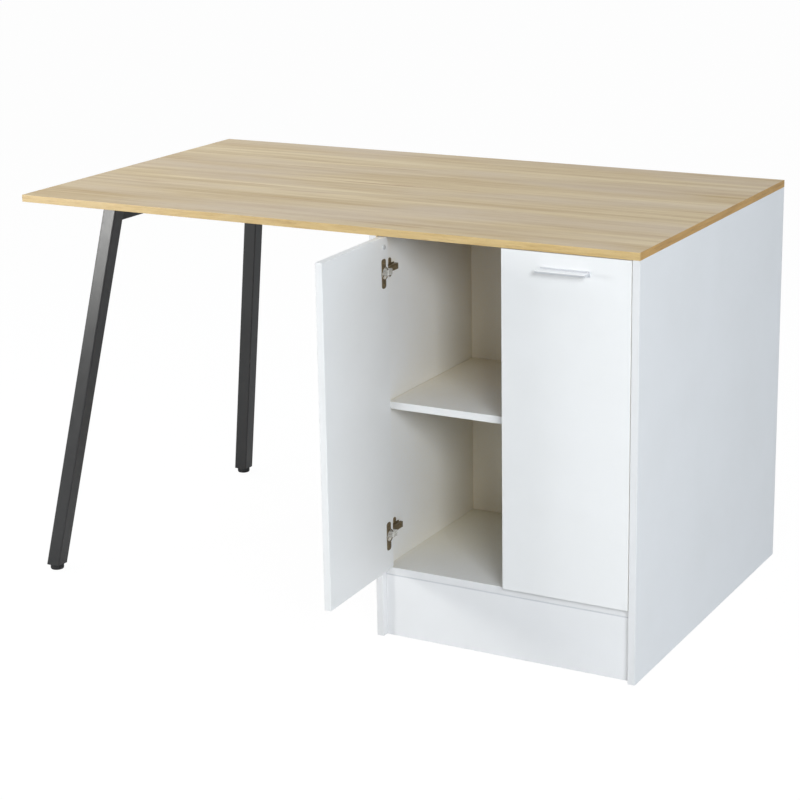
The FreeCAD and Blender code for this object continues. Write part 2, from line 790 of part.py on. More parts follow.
def common(name, first, second):
    """What two solids share."""
    obj = doc.addObject("Part::Common", name)
    obj.Base = first
    obj.Tool = second
    return obj


def cup(name, place, turn):
    """A hinge cup with its flange, its rim and the two lugs that hold the pin."""
    bottom = ("cup_across", "cup_floor", "0")
    shell = rod(name + "_shell", bottom, "+y", "cup_radius", "cup_depth")
    low = ("flange_across - flange_width / 2", "door_inside", "-flange_length / 2")
    strip = box(name + "_strip", ("flange_width", "flange_thickness", "flange_length"), low)
    flange = soften(name + "_flange", strip, "flange_corner_radius", along("y"))
    rim = rod(name + "_rim", ("cup_across", "door_inside", "0"), "+y",
              "cup_radius + cup_rim", "flange_thickness")
    inside = ("cup_across", "cup_floor + cup_wall", "0")
    tools = [rod(name + "_hollow", inside, "+y", "cup_radius - cup_wall", "cup_depth + overrun")]
    for n, hand in enumerate("+-", 1):
        mouth = ("flange_across", "door_inside", f"{hand} flange_screw_pitch / 2")
        tools.append(bore(f"{name}_screw_hole_{n}", mouth, "+y",
                          "cup_screw_radius + hole_play", "flange_thickness + overrun"))
    bowl = cut(name + "_bowl", fuse(name + "_blank", [shell, flange, rim]), tools)
    size = ("lug_width", "lug_height", "cup_radius - (lug_start)")
    blocks = [
        box(name + "_upper_block", size, ("-lug_width / 2", "cup_floor", "lug_start")),
        box(name + "_lower_block", size, ("-lug_width / 2", "cup_floor", "-cup_radius")),
    ]
    mould = rod(name + "_mould", bottom, "+y", "cup_radius", "cup_depth")
    lugs = common(name + "_lugs", fuse(name + "_blocks", blocks), mould)
    hole = rod(name + "_pin_hole", ("0", "0", "-pin_length / 2"), "+z",
               "pin_radius + hole_play", "pin_length")
    return put(cut(name + "_cut", fuse(name + "_solid", [bowl, lugs]), [hole]), place, turn)


def neck(name, place, turn):
    """The bent and slotted strip that carries the door's pin and ends at the arm."""
    half = "neck_thickness / 2"
    deep = "neck_height / 2"
    eye = rod(name + "_eye", ("0", "0", f"-{deep}"), "+z", "eye_radius", "neck_height")
    reach = box(name + "_reach", ("neck_reach", "neck_thickness", "neck_height"),
                ("0", f"-{half}", f"-{deep}"))
    rise = box(name + "_rise", ("neck_thickness", f"neck_rise + {half}", "neck_height"),
               ("neck_reach - neck_thickness", f"-{half}", f"-{deep}"))
    back = box(name + "_back", ("neck_reach - (arm_side)", "neck_thickness", "neck_height"),
               ("arm_side", "arm_start", f"-{deep}"))
    strip = fuse(name + "_strip", [reach, rise, back])
    limit = value("neck_reach") - value("neck_thickness") / 2
    bent = soften(name + "_bends", strip, "neck_bend_radius",
                  lambda edge: along("z")(edge) and edge.CenterOfMass.x > limit)
    hole = bore(name + "_pin_hole", ("0", "0", f"-{deep}"), "+z",
                "pin_radius + pin_play", "neck_height + overrun")
    slot = box(name + "_slot", ("neck_reach - 2 * neck_slot_inset", "neck_thickness + 2 * overrun",
                                "neck_slot_height"),
               ("neck_slot_inset", f"-({half} + overrun)", "-neck_slot_height / 2"))
    return put(cut(name + "_cut", fuse(name + "_solid", [bent, eye]), [hole, slot]), place, turn)


def arm(name, place, turn):
    """The bar that carries the neck and is screwed to the mounting plate."""
    low = ("boss_top", "arm_start", "-arm_height / 2")
    blank = box(name + "_blank", ("arm_thickness", "arm_length", "arm_height"), low)
    far = value("arm_start") + value("arm_length") / 2
    bar = soften(name + "_soft", blank, "arm_edge_radius",
                 lambda edge: edge.CenterOfMass.y > far)
    mouth = ("arm_side", "arm_screw_across", "0")
    hole = bore(name + "_hole", mouth, "-x", "arm_screw_radius + hole_play", "arm_thickness + overrun")
    return put(cut(name + "_cut", bar, [hole]), place, turn)


def plate(name, place, turn):
    """A mounting plate with a wing for its two screws and a boss under the arm."""
    strip = box(name + "_strip", ("plate_thickness", "plate_length", "plate_height"),
                ("panel_side", "plate_across - plate_length / 2", "-plate_height / 2"))
    blank = box(name + "_wing_blank", ("plate_thickness", "wing_width", "wing_length"),
                ("panel_side", "plate_across - wing_width / 2", "-wing_length / 2"))
    wing = soften(name + "_wing", blank, "wing_corner_radius", along("x"))
    boss = box(name + "_boss", ("plate_boss_thickness", "plate_length", "plate_boss_height"),
               ("plate_top", "plate_across - plate_length / 2", "-plate_boss_height / 2"))
    tools = [bore(name + "_arm_hole", ("boss_top", "arm_screw_across", "0"), "-x",
                  "arm_screw_radius + hole_play",
                  "plate_boss_thickness + plate_thickness + overrun")]
    for n, hand in enumerate("+-", 1):
        mouth = ("plate_top", "plate_across", f"{hand} wing_screw_pitch / 2")
        tools.append(bore(f"{name}_hole_{n}", mouth, "-x",
                          "plate_screw_radius + hole_play", "plate_thickness + overrun"))
    return put(cut(name + "_cut", fuse(name + "_solid", [strip, wing, boss]), tools), place, turn)


def held(name, piece, place, turn):
    """A solid drawn in a hinge's own frame, put where the hinge is."""
    obj = doc.addObject("Part::Compound", name)
    obj.Links = [piece]
    return put(obj, place, turn)


def hinges(side):
    """Both hinges of a door, the door's share and the cabinet's share."""
    axis, door_turn, _ = DOORS[side]
    still = Rotation() if side == "left" else door_turn
    pins = []
    cup_screws = []
    plates = []
    plate_screws = []
    arm_screws = []
    for height, level in (("upper", "upper_hinge"), ("lower", "lower_hinge")):
        place = (axis, "pin_y", level)
        name = f"{side}_{height}_hinge"
        node(cup(name + "_cup_piece", place, door_turn), name + "_cup")
        node(neck(name + "_neck_piece", place, still), name + "_neck")
        node(arm(name + "_arm_piece", place, still), name + "_arm")
        plates.append(plate(name + "_plate", place, still))
        pin = rod(name + "_pin", ("0", "0", "-pin_length / 2"), "+z", "pin_radius", "pin_length")
        pins.append(held(name + "_pin_held", pin, place, door_turn))
        for n, hand in enumerate("+-", 1):
            rest = ("flange_across", "door_inside + flange_thickness", f"{hand} flange_screw_pitch / 2")
            piece = screw(f"{name}_cup_screw_{n}", rest, "-y",
                          "cup_screw_head_radius", "cup_screw_head_height",
                          "cup_screw_radius", "flange_thickness + cup_screw_grip")
            cup_screws.append(held(f"{name}_cup_screw_held_{n}", piece, place, door_turn))
            rest = ("plate_top", "plate_across", f"{hand} wing_screw_pitch / 2")
            piece = screw(f"{name}_plate_screw_{n}", rest, "-x",
                          "plate_screw_head_radius", "plate_screw_head_height",
                          "plate_screw_radius", "plate_thickness + plate_screw_grip")
            plate_screws.append(held(f"{name}_plate_screw_held_{n}", piece, place, still))
        piece = screw(f"{name}_arm_screw", ("arm_side", "arm_screw_across", "0"), "-x",
                      "arm_screw_head_radius", "arm_screw_head_height", "arm_screw_radius",
                      "arm_thickness + plate_boss_thickness + plate_thickness")
        arm_screws.append(held(f"{name}_arm_screw_held", piece, place, still))
    group(side + "_hinge_pins", pins)
    group(side + "_cup_screws", cup_screws)
    group(side + "_hinge_plates", plates)
    return plate_screws, arm_screws


plate_screws = []
arm_screws = []
for side in DOORS:
    door(side)
    handle(side)
    of_plates, of_arms = hinges(side)
    plate_screws += of_plates
    arm_screws += of_arms
group("plate_screws", plate_screws)
group("arm_screws", arm_screws)


# Leg frame

def leaning(name, end, rings, height):
    """A tube or bar that leans with its leg, standing on the leg's lower end."""
    face, sign = LEGS[end]
    body = doc.addObject("PartDesign::Body", name)
    sketch = sketch_on(body, "XY_Plane")
    for width, radius in rings:
        rounded(sketch, width, width, radius)
    bar = pad(body, sketch, height)
    bar.UseCustomVector = True
    bar.AlongSketchNormal = True
    bind(bar, "Direction.x", "leg_lean_across")
    bind(bar, "Direction.y", f"{sign} leg_lean_deep")
    bind(bar, "Direction.z", "leg_rise")
    return put(body, ("foot_across", f"{face} {sign} foot_deep", "leg_base"))


outer_ring = ("leg_tube", "leg_tube_radius")
inner_ring = ("tube_inside", "tube_inside_radius")
envelopes = []
leg_screws = []
for end, (face, sign) in LEGS.items():
    node(leaning(end + "_leg_tube", end, [outer_ring, inner_ring], "leg_rise"), end + "_leg")
    envelopes.append(leaning(end + "_leg_envelope", end, [outer_ring], "leg_rise"))

    plug = leaning(end + "_plug", end, [("plug_width", "tube_inside_radius")], "plug_height")
    deep = f"{face} {sign} foot_deep"
    low = ("foot_across - leg_tube / 2", f"{deep} - leg_tube / 2", "foot_height")
    cap = box(end + "_cap", ("leg_tube", "leg_tube", "insert_flange"), low)
    flange = soften(end + "_insert_flange", cap, "leg_tube_radius", along("z"))
    mouth = ("foot_across", deep, "foot_height")
    thread = bore(end + "_thread", mouth, "+z", "stem_radius + stem_play",
                  "insert_flange + plug_height + overrun")
    insert = cut(end + "_insert_cut", fuse(end + "_insert_solid", [flange, plug]), [thread])
    node(insert, end + "_foot_insert")

    disc_height = "foot_height - foot_gap"
    disc = rod(end + "_foot_disc", ORIGIN, "+z", "foot_radius", disc_height)
    pad_disc = soften(end + "_foot_soft", disc, "foot_edge_radius", ring)
    stem = rod(end + "_foot_stem", ("0", "0", "foot_edge_radius"), "+z", "stem_radius",
               f"{disc_height} - foot_edge_radius + stem_length")
    foot = put(fuse(end + "_foot_solid", [pad_disc, stem]), ("foot_across", deep, "0"))
    node(foot, end + "_levelling_foot")

    start = f"{face} {sign} mount_plate_inset"
    if end == "rear":
        start = f"{start} - mount_plate_length"
    corner = ("leg_middle_across - mount_plate_width / 2", start, "leg_top")
    sheet_blank = box(end + "_mount_blank", ("mount_plate_width", "mount_plate_length",
                                             "mount_plate_thickness"), ORIGIN)
    spots = leg_screw_spots(end)
    holes = [bore(f"{end}_mount_hole_{n}", local((across, depth, "leg_top"), corner), "+z",
                  "leg_screw_radius + hole_play", "mount_plate_thickness + overrun")
             for n, (across, depth) in enumerate(spots, 1)]
    node(put(cut(end + "_mount_cut", sheet_blank, holes), corner), end + "_mounting_plate")
    for n, (across, depth) in enumerate(spots, 1):
        leg_screws.append(screw(f"{end}_leg_screw_{n}", (across, depth, "leg_top"), "+z",
                                "leg_screw_head_radius", "leg_screw_head_height",
                                "leg_screw_radius", "mount_plate_thickness + leg_screw_grip"))
group("leg_plate_screws", leg_screws)

rail_body = doc.addObject("PartDesign::Body", "cross_rail_tube")
rail_sketch = sketch_on(rail_body, "XZ_Plane")
rounded(rail_sketch, "cross_rail_width", "cross_rail_height", "leg_tube_radius")
rounded(rail_sketch, "cross_rail_width - 2 * leg_wall", "cross_rail_height - 2 * leg_wall", "tube_inside_radius")
rail_bar = pad(rail_body, rail_sketch, "worktop_depth - 2 * (rail_inset)")
rail_bar.Reversed = True
put(rail_body, ("leg_middle_across - (leg_tube - cross_rail_width) / 2", "front_face + rail_inset",
                "leg_top - cross_rail_height / 2"))
node(cut("cross_rail_cut", rail_body, envelopes), "leg_cross_rail")

# Check every object, then write one file for each piece
doc.recompute()
for obj in doc.Objects:
    if "Invalid" in obj.State or "Error" in obj.State:
        raise RuntimeError(f"{obj.Name} is not sound: {obj.State}")
os.makedirs("parts", exist_ok=True)
for obj in nodes:
    shape = obj.Shape
    if shape.isNull() or not shape.isValid() or not shape.Solids:
        raise RuntimeError(f"{obj.Label} has no sound solid")
    shape.exportStep(os.path.join("parts", obj.Label + ".step"))
print(len(nodes), "pieces,", sum(len(obj.Shape.Solids) for obj in nodes), "solids")
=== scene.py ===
"""Looks of the kitchen island: finishes, fittings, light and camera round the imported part."""

import json
import math

import bmesh
import bpy
import numpy as np
from mathutils import Matrix, Vector


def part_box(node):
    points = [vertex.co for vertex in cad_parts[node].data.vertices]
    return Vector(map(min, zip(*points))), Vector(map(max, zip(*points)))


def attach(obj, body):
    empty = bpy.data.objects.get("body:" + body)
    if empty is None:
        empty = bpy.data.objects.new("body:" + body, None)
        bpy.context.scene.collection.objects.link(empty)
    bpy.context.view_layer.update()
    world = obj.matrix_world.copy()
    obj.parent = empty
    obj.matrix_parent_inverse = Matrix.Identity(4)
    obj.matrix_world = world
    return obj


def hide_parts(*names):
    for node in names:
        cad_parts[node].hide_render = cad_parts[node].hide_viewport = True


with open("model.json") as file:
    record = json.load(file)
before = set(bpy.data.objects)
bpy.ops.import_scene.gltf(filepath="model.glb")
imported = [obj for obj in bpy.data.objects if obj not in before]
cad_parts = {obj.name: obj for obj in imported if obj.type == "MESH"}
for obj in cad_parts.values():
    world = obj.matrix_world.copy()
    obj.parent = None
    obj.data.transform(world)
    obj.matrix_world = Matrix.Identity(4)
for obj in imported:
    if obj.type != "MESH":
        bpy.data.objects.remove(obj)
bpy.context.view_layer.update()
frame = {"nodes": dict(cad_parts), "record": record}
NODES = frame["nodes"]


# The camera's stand: place and aim in metres, roll in degrees, lens and sensor in millimetres,
# shift as a share of the picture
CAMERA_PLACE = (2.2511, -3.9579, 1.7630)
CAMERA_AIM = (-0.0179, 0.1335, 0.4934)
CAMERA_ROLL = -1.013
CAMERA_LENS = 94.233
CAMERA_SENSOR = 36.0
CAMERA_SHIFT = -0.05


# Wiring of nodes

def feed(tree, socket, source):
    """Join a socket to another one, or set its plain value."""
    if isinstance(source, bpy.types.NodeSocket):
        tree.links.new(source, socket)
    else:
        socket.default_value = source


def add(tree, kind, feeds=None, **settings):
    """A node of a tree with its settings made and its inputs fed."""
    node = tree.nodes.new(kind)
    for name, setting in settings.items():
        setattr(node, name, setting)
    for key, source in (feeds or {}).items():
        feed(tree, node.inputs[key], source)
    return node


def worked(tree, operation, first, second=0.0, clamp=False):
    """One sum on two values."""
    return add(tree, "ShaderNodeMath", {0: first, 1: second},
               operation=operation, use_clamp=clamp).outputs[0]


def stretched(tree, place, scale, turn=(0, 0, 0), shift=(0, 0, 0)):
    """A place with each of its axes scaled on its own."""
    return add(tree, "ShaderNodeMapping", {
        "Vector": place, "Scale": scale, "Rotation": turn, "Location": shift}).outputs[0]


def noise(tree, place, scale=1.0, detail=2.0, roughness=0.5, distortion=0.0):
    """Even noise between 0 and 1."""
    return add(tree, "ShaderNodeTexNoise", {
        "Vector": place, "Scale": scale, "Detail": detail, "Roughness": roughness,
        "Distortion": distortion}).outputs["Fac"]


def between(tree, value, low, high, to_low=0.0, to_high=1.0):
    """A value moved from one span to another and held inside it."""
    return add(tree, "ShaderNodeMapRange", {
        "Value": value, "From Min": low, "From Max": high,
        "To Min": to_low, "To Max": to_high}).outputs[0]


def blend(tree, amount, first, second, how="MIX"):
    """Two colours, the second laid on the first by an amount."""
    node = add(tree, "ShaderNodeMix", {0: amount, 6: first, 7: second},
               data_type="RGBA", blend_type=how)
    return node.outputs[2]


def ramp(tree, value, stops):
    """A colour that runs through stops of place and colour."""
    node = add(tree, "ShaderNodeValToRGB", {"Fac": value})
    points = node.color_ramp.elements
    while len(points) < len(stops):
        points.new(0.5)
    for point, (at, colour) in zip(points, stops):
        point.position = at
        point.color = colour
    return node.outputs["Color"]


def axis_of(tree, vector, axis):
    """One axis of a vector."""
    return add(tree, "ShaderNodeSeparateXYZ", {0: vector}).outputs[axis]


def facing(tree, axis):
    """How far the surface faces along one axis of the room."""
    return axis_of(tree, add(tree, "ShaderNodeNewGeometry").outputs["Normal"], axis)


def reach_along(tree, vector, way):
    """How far a vector reaches along a way."""
    return add(tree, "ShaderNodeVectorMath", {0: vector, 1: way}, operation="DOT_PRODUCT").outputs["Value"]


def screen(red, green, blue):
    """A colour written as a screen shows it, in the linear values that nodes take."""
    def linear(part):
        part /= 255
        return part / 12.92 if part <= 0.04045 else ((part + 0.055) / 1.055) ** 2.4
    return (linear(red), linear(green), linear(blue), 1.0)


# Effects that several finishes share

# Heights between which the painted warm shade inside the cupboard begins
SHADE_FROM = 0.145
SHADE_FULL = 0.155


def effect(name, inputs, outputs):
    """An empty shader group with its named sockets."""
    tree = bpy.data.node_groups.new(name, "ShaderNodeTree")
    for label, start in inputs.items():
        kind = "NodeSocketVector" if start is None else "NodeSocketFloat"
        socket = tree.interface.new_socket(label, in_out="INPUT", socket_type=kind)
        if start is not None:
            socket.default_value = start
    for label in outputs:
        tree.interface.new_socket(label, in_out="OUTPUT", socket_type="NodeSocketFloat")
    given = tree.nodes.new("NodeGroupInput").outputs
    made = tree.nodes.new("NodeGroupOutput").inputs
    return tree, given, made


def make_plank_figure():
    """Long streaks, fine grain and open pores of a plank, all running along X."""
    tree, given, made = effect("plank_figure", {"Place": None},
                               ["Tone", "Patches", "Streaks", "Pores", "Height"])
    place = given["Place"]
    slow = noise(tree, stretched(tree, place, (2.2, 8.0, 8.0), shift=(9.2, 4.1, 2.6)), detail=2)
    feed(tree, made["Patches"], between(tree, slow, 0.42, 0.68))
    broad = noise(tree, stretched(tree, place, (0.8, 9.0, 9.0)), detail=2)
    bands = noise(tree, stretched(tree, place, (1.7, 44.0, 44.0)), detail=5, roughness=0.6, distortion=0.15)
    fine = noise(tree, stretched(tree, place, (4.0, 250.0, 250.0)), detail=3, roughness=0.65)
    lines = noise(tree, stretched(tree, place, (3.0, 560.0, 560.0), shift=(5.3, 0.9, 6.1)), detail=2)
    tone = worked(tree, "ADD", worked(tree, "MULTIPLY", broad, 0.26), worked(tree, "MULTIPLY", bands, 0.44))
    grain = worked(tree, "ADD", worked(tree, "MULTIPLY", fine, 0.18), worked(tree, "MULTIPLY", lines, 0.12))
    feed(tree, made["Tone"], between(tree, worked(tree, "ADD", tone, grain), 0.39, 0.61))
    dark = noise(tree, stretched(tree, place, (2.2, 46.0, 46.0), shift=(3.1, 7.7, 1.3)),
                 detail=5, roughness=0.6, distortion=0.3)
    feed(tree, made["Streaks"], between(tree, dark, 0.6, 0.74))
    open_pores = noise(tree, stretched(tree, place, (24.0, 820.0, 820.0)), detail=1)
    pores = between(tree, open_pores, 0.6, 0.72)
    feed(tree, made["Pores"], pores)
    feed(tree, made["Height"], worked(tree, "SUBTRACT", worked(tree, "MULTIPLY", fine, 0.5), pores))
    return tree


def make_fine_skin():
    """The small dimples of a sprayed, moulded or pressed skin, with a slow change over it."""
    tree, given, made = effect("fine_skin", {"Place": None, "Dimples": 900.0},
                               ["Height", "Mottle", "Smear"])
    place = given["Place"]
    small = noise(tree, place, given["Dimples"], detail=2, roughness=0.6)
    feed(tree, made["Height"], small)
    feed(tree, made["Mottle"], between(tree, noise(tree, place, 7.0, detail=4), 0.32, 0.68))
    feed(tree, made["Smear"], between(tree, noise(tree, place, 26.0, detail=5, distortion=1.2), 0.35, 0.7))
    return tree


def make_worn_edges():
    """Where a hand or a tool has rubbed the sharp edges, broken up by noise."""
    tree, given, made = effect("worn_edges", {"Place": None, "Reach": 0.002, "Breaks": 60.0}, ["Mask"])
    bent = add(tree, "ShaderNodeBevel", {"Radius": given["Reach"]}, samples=4).outputs["Normal"]
    flat = tree.nodes.new("ShaderNodeNewGeometry").outputs["Normal"]
    turned = between(tree, reach_along(tree, bent, flat), 0.995, 0.9)
    broken = between(tree, noise(tree, given["Place"], given["Breaks"], detail=4, roughness=0.7), 0.38, 0.62)
    feed(tree, made["Mask"], worked(tree, "MULTIPLY", turned, broken))
    return tree


def make_settled_dust():
    """Dust that lies on what faces up, in uneven patches."""
    tree, given, made = effect("settled_dust", {"Place": None, "Patches": 18.0}, ["Mask"])
    upward = between(tree, facing(tree, "Z"), 0.35, 0.95)
    uneven = noise(tree, given["Place"], given["Patches"], detail=6, roughness=0.65)
    feed(tree, made["Mask"], worked(tree, "MULTIPLY", upward, between(tree, uneven, 0.36, 0.72)))
    return tree


def make_painted_enclosed_shade():
    """The mask of painted warm shade: how far a place lies inside the cupboard, from its floor panel upwards.
    """
    tree, given, made = effect("painted_enclosed_shade", {"Place": None, "Reach": 0.4}, ["Mask"])
    open_sky = add(tree, "ShaderNodeAmbientOcclusion", {"Distance": given["Reach"]}, samples=6).outputs["AO"]
    above = between(tree, axis_of(tree, given["Place"], "Z"), SHADE_FROM, SHADE_FULL)
    feed(tree, made["Mask"], worked(tree, "MULTIPLY", between(tree, open_sky, 0.45, 0.12), above))
    return tree


def make_drawn_lines():
    """The hair lines that rolling or brushing leaves in metal, running along X."""
    tree, given, made = effect("drawn_lines", {"Place": None}, ["Height", "Shine"])
    lines = noise(tree, stretched(tree, given["Place"], (14.0, 2600.0, 2600.0)), detail=2)
    patches = noise(tree, given["Place"], 60.0, detail=3)
    feed(tree, made["Height"], lines)
    both = worked(tree, "ADD", worked(tree, "MULTIPLY", lines, 0.6), worked(tree, "MULTIPLY", patches, 0.4))
    feed(tree, made["Shine"], between(tree, both, 0.3, 0.7))
    return tree


PLANK_FIGURE = make_plank_figure()
FINE_SKIN = make_fine_skin()
WORN_EDGES = make_worn_edges()
SETTLED_DUST = make_settled_dust()
PAINTED_ENCLOSED_SHADE = make_painted_enclosed_shade()
DRAWN_LINES = make_drawn_lines()


# Finishes

def finish(name, **plain):
    """A node material with its shader, its own place on the piece and plain values on the shader."""
    material = bpy.data.materials.new(name)
    material.use_nodes = True
    tree = material.node_tree
    tree.nodes.clear()
    shader = add(tree, "ShaderNodeBsdfPrincipled")
    for label, setting in plain.items():
        shader.inputs[label.replace("_", " ").title().replace("Ior", "IOR")].default_value = setting
    add(tree, "ShaderNodeOutputMaterial", {"Surface": shader.outputs["BSDF"]})
    place = add(tree, "ShaderNodeTexCoord").outputs["Object"]
    return material, tree, shader, place


def effect_in(tree, group, **feeds):
    """A shared effect placed in a finish, with its outputs."""
    node = add(tree, "ShaderNodeGroup", node_tree=group)
    for label, source in feeds.items():
        feed(tree, node.inputs[label], source)
    return node.outputs


def raised(tree, shader, height, strength, distance):
    """Small relief on the shader's normal."""
    bump = add(tree, "ShaderNodeBump", {"Height": height, "Strength": strength, "Distance": distance})
    feed(tree, shader.inputs["Normal"], bump.outputs["Normal"])


def oak_finish(name, pale, middle, deep, streak, patch, scale=(1, 1, 1), turn=(0, 0, 0), streaks=0.35,
               pores=0.2, under=None, gloss=0.4, rough=0.5):
    """Printed oak under a matt film, with its grain turned to run along the piece."""
    material, tree, shader, place = finish(name, specular_ior_level=gloss)
    figure = effect_in(tree, PLANK_FIGURE, Place=stretched(tree, place, scale, turn))
    colour = ramp(tree, figure["Tone"], [(0.0, deep), (0.5, middle), (1.0, pale)])
    colour = blend(tree, worked(tree, "MULTIPLY", figure["Patches"], 0.7), colour, patch)
    colour = blend(tree, worked(tree, "MULTIPLY", figure["Streaks"], streaks), colour, streak)
    colour = blend(tree, worked(tree, "MULTIPLY", figure["Pores"], pores), colour, streak, "MULTIPLY")
    if under is not None:
        colour = blend(tree, between(tree, facing(tree, "Z"), -0.3, -0.8), colour, under, "MULTIPLY")
    feed(tree, shader.inputs["Base Color"], colour)
    feed(tree, shader.inputs["Roughness"], between(tree, figure["Tone"], 0, 1, rough, rough - 0.1))
    raised(tree, shader, figure["Height"], 0.12, 0.0004)
    return material


# The band of painted shade at a plinth's top, where the floor panel lies on it
SEAM_HEIGHT = 0.0036
PAINTED_SEAM_SHADE = screen(207, 208, 211)


def board_finish(name, colour, shade, painted_warm_shade=None, front=None, seam=None):
    """White pressed board skin with faint dimples and slightly soiled edges.

    A board may have painted warm shade where it lies inside the cupboard, painted shade on the faces
    that look to the front, and a painted line of shade just below the height of a seam.
    """
    material, tree, shader, place = finish(name, specular_ior_level=0.35)
    skin = effect_in(tree, FINE_SKIN, Place=place, Dimples=700.0)
    worn = effect_in(tree, WORN_EDGES, Place=place, Reach=0.0015, Breaks=40.0)
    tint = blend(tree, worked(tree, "MULTIPLY", skin["Mottle"], 0.5), colour, shade)
    tint = blend(tree, worked(tree, "MULTIPLY", worn["Mask"], 0.25), tint, shade)
    if seam is not None:
        # Painted shade: a dark band just below the seam, where the floor panel meets the plinth
        painted_seam_band = between(tree, axis_of(tree, place, "Z"), seam - SEAM_HEIGHT, seam - SEAM_HEIGHT / 2)
        tint = blend(tree, painted_seam_band, tint, PAINTED_SEAM_SHADE)
    if painted_warm_shade is not None:
        inside = effect_in(tree, PAINTED_ENCLOSED_SHADE, Place=place, Reach=0.4)["Mask"]
        if front is not None:
            ahead = between(tree, facing(tree, "Y"), -0.8, -0.95)
            inside = worked(tree, "MULTIPLY", inside, worked(tree, "SUBTRACT", 1.0, ahead))
            # Painted shade: faces that look to the front are multiplied by the front colour
            tint = blend(tree, ahead, tint, front, "MULTIPLY")
        # Painted warm shade: the board's colour turns warm where it lies inside the cupboard
        tint = blend(tree, inside, tint, painted_warm_shade)
    feed(tree, shader.inputs["Base Color"], tint)
    feed(tree, shader.inputs["Roughness"], between(tree, skin["Smear"], 0, 1, 0.36, 0.46))
    raised(tree, shader, skin["Height"], 0.06, 0.0003)
    return material


DUST = screen(150, 146, 140)


def coated_finish(name, colour, bare, dimples, rough, wear, gloss=0.5):
    """Sprayed coat, rubber or moulded plastic with dimples, a little dust and paler worn edges."""
    material, tree, shader, place = finish(name, specular_ior_level=gloss)
    skin = effect_in(tree, FINE_SKIN, Place=place, Dimples=dimples)
    worn = effect_in(tree, WORN_EDGES, Place=place, Reach=0.002, Breaks=70.0)
    dust = effect_in(tree, SETTLED_DUST, Place=place)
    tint = blend(tree, worked(tree, "MULTIPLY", skin["Mottle"], 0.35), colour, bare)
    tint = blend(tree, worked(tree, "MULTIPLY", worn["Mask"], wear), tint, bare)
    tint = blend(tree, worked(tree, "MULTIPLY", dust["Mask"], 0.1), tint, DUST)
    feed(tree, shader.inputs["Base Color"], tint)
    grain = worked(tree, "MULTIPLY", skin["Height"], 0.75)
    grain = worked(tree, "ADD", grain, worked(tree, "MULTIPLY", skin["Smear"], 0.25))
    feed(tree, shader.inputs["Roughness"], between(tree, grain, 0.2, 0.8, rough, rough + 0.12))
    raised(tree, shader, skin["Height"], 0.15, 0.0002)
    return material


# The depth over which a hinge cup's bronze turns to its painted light
RIM_BLEND = 0.0004


def metal_finish(name, colour, dull, rough, turn=(0, 0, 0), tarnish=0.3, metallic=1.0, painted_cup_light=None):
    """Rolled or plated metal with hair lines, dull patches and bright edges.

    A hinge cup's walls below its rim, not what faces out of it, are painted pale: painted light in the cup's
    hollow.
    """
    material, tree, shader, place = finish(name, metallic=metallic)
    lines = effect_in(tree, DRAWN_LINES, Place=stretched(tree, place, (1, 1, 1), turn))
    skin = effect_in(tree, FINE_SKIN, Place=place, Dimples=400.0)
    worn = effect_in(tree, WORN_EDGES, Place=place, Reach=0.0008, Breaks=200.0)
    patches = worked(tree, "MULTIPLY", skin["Smear"], tarnish)
    tint = blend(tree, patches, colour, dull)
    tint = blend(tree, worked(tree, "MULTIPLY", worn["Mask"], 0.5), tint, colour)
    # Painted light: the cup's walls below its rim are blended to a pale colour
    if painted_cup_light is not None:
        way, rim, cup_light_colour = painted_cup_light
        normal = add(tree, "ShaderNodeTexCoord").outputs["Normal"]
        below = between(tree, reach_along(tree, place, way), rim - RIM_BLEND, rim, 1, 0)
        sideways = between(tree, reach_along(tree, normal, way), 0.5, 0.8, 1, 0)
        tint = blend(tree, worked(tree, "MULTIPLY", below, sideways), tint, cup_light_colour)
    feed(tree, shader.inputs["Base Color"], tint)
    feed(tree, shader.inputs["Roughness"], between(tree, lines["Shine"], 0, 1, rough, rough + 0.14))
    raised(tree, shader, lines["Height"], 0.05, 0.0001)
    return material


def folded_finish(name, plate, edge):
    """Satin metal folded from sheet, with painted light and shade: the plate that faces up painted pale, and
    its lips and ends painted duller.
    """
    material, tree, shader, place = finish(name, metallic=0.8)
    lines = effect_in(tree, DRAWN_LINES, Place=place)
    # Painted light and shade: faces that look up take the pale plate colour, the rest the darker edge colour
    tint = blend(tree, between(tree, facing(tree, "Z"), 0.3, 0.8), edge, plate)
    tint = blend(tree, worked(tree, "MULTIPLY", lines["Shine"], 0.25), tint, edge)
    feed(tree, shader.inputs["Base Color"], tint)
    feed(tree, shader.inputs["Roughness"], between(tree, lines["Shine"], 0, 1, 0.3, 0.42))
    raised(tree, shader, lines["Height"], 0.05, 0.0001)
    return material


ALONG_Y = (0, 0, math.pi / 2)

WORKTOP_TOP = oak_finish("worktop_oak", screen(240, 222, 188), screen(223, 202, 166), screen(206, 180, 141),
                         screen(176, 132, 86), screen(224, 207, 186), under=screen(205, 182, 150),
                         streaks=0.55, gloss=0.12, rough=0.72)
WORKTOP_LONG_EDGE = oak_finish("worktop_long_edge", screen(220, 191, 133), screen(205, 174, 114),
                               screen(180, 146, 90), screen(146, 108, 60), screen(212, 184, 128),
                               scale=(6, 4, 4), streaks=0.7, gloss=0.9, rough=0.38)
# The short edges: the long edges' oak with its grain along Y, in darker and deeper colours that are painted
# shade
WORKTOP_SHORT_EDGE_PAINTED_SHADE = oak_finish("worktop_short_edge_painted_shade", screen(212, 164, 82), screen(194, 147, 70),
                                screen(168, 120, 52), screen(136, 94, 40), screen(198, 152, 78),
                                scale=(4, 6, 4), turn=ALONG_Y, streaks=0.7, gloss=0.9, rough=0.38)
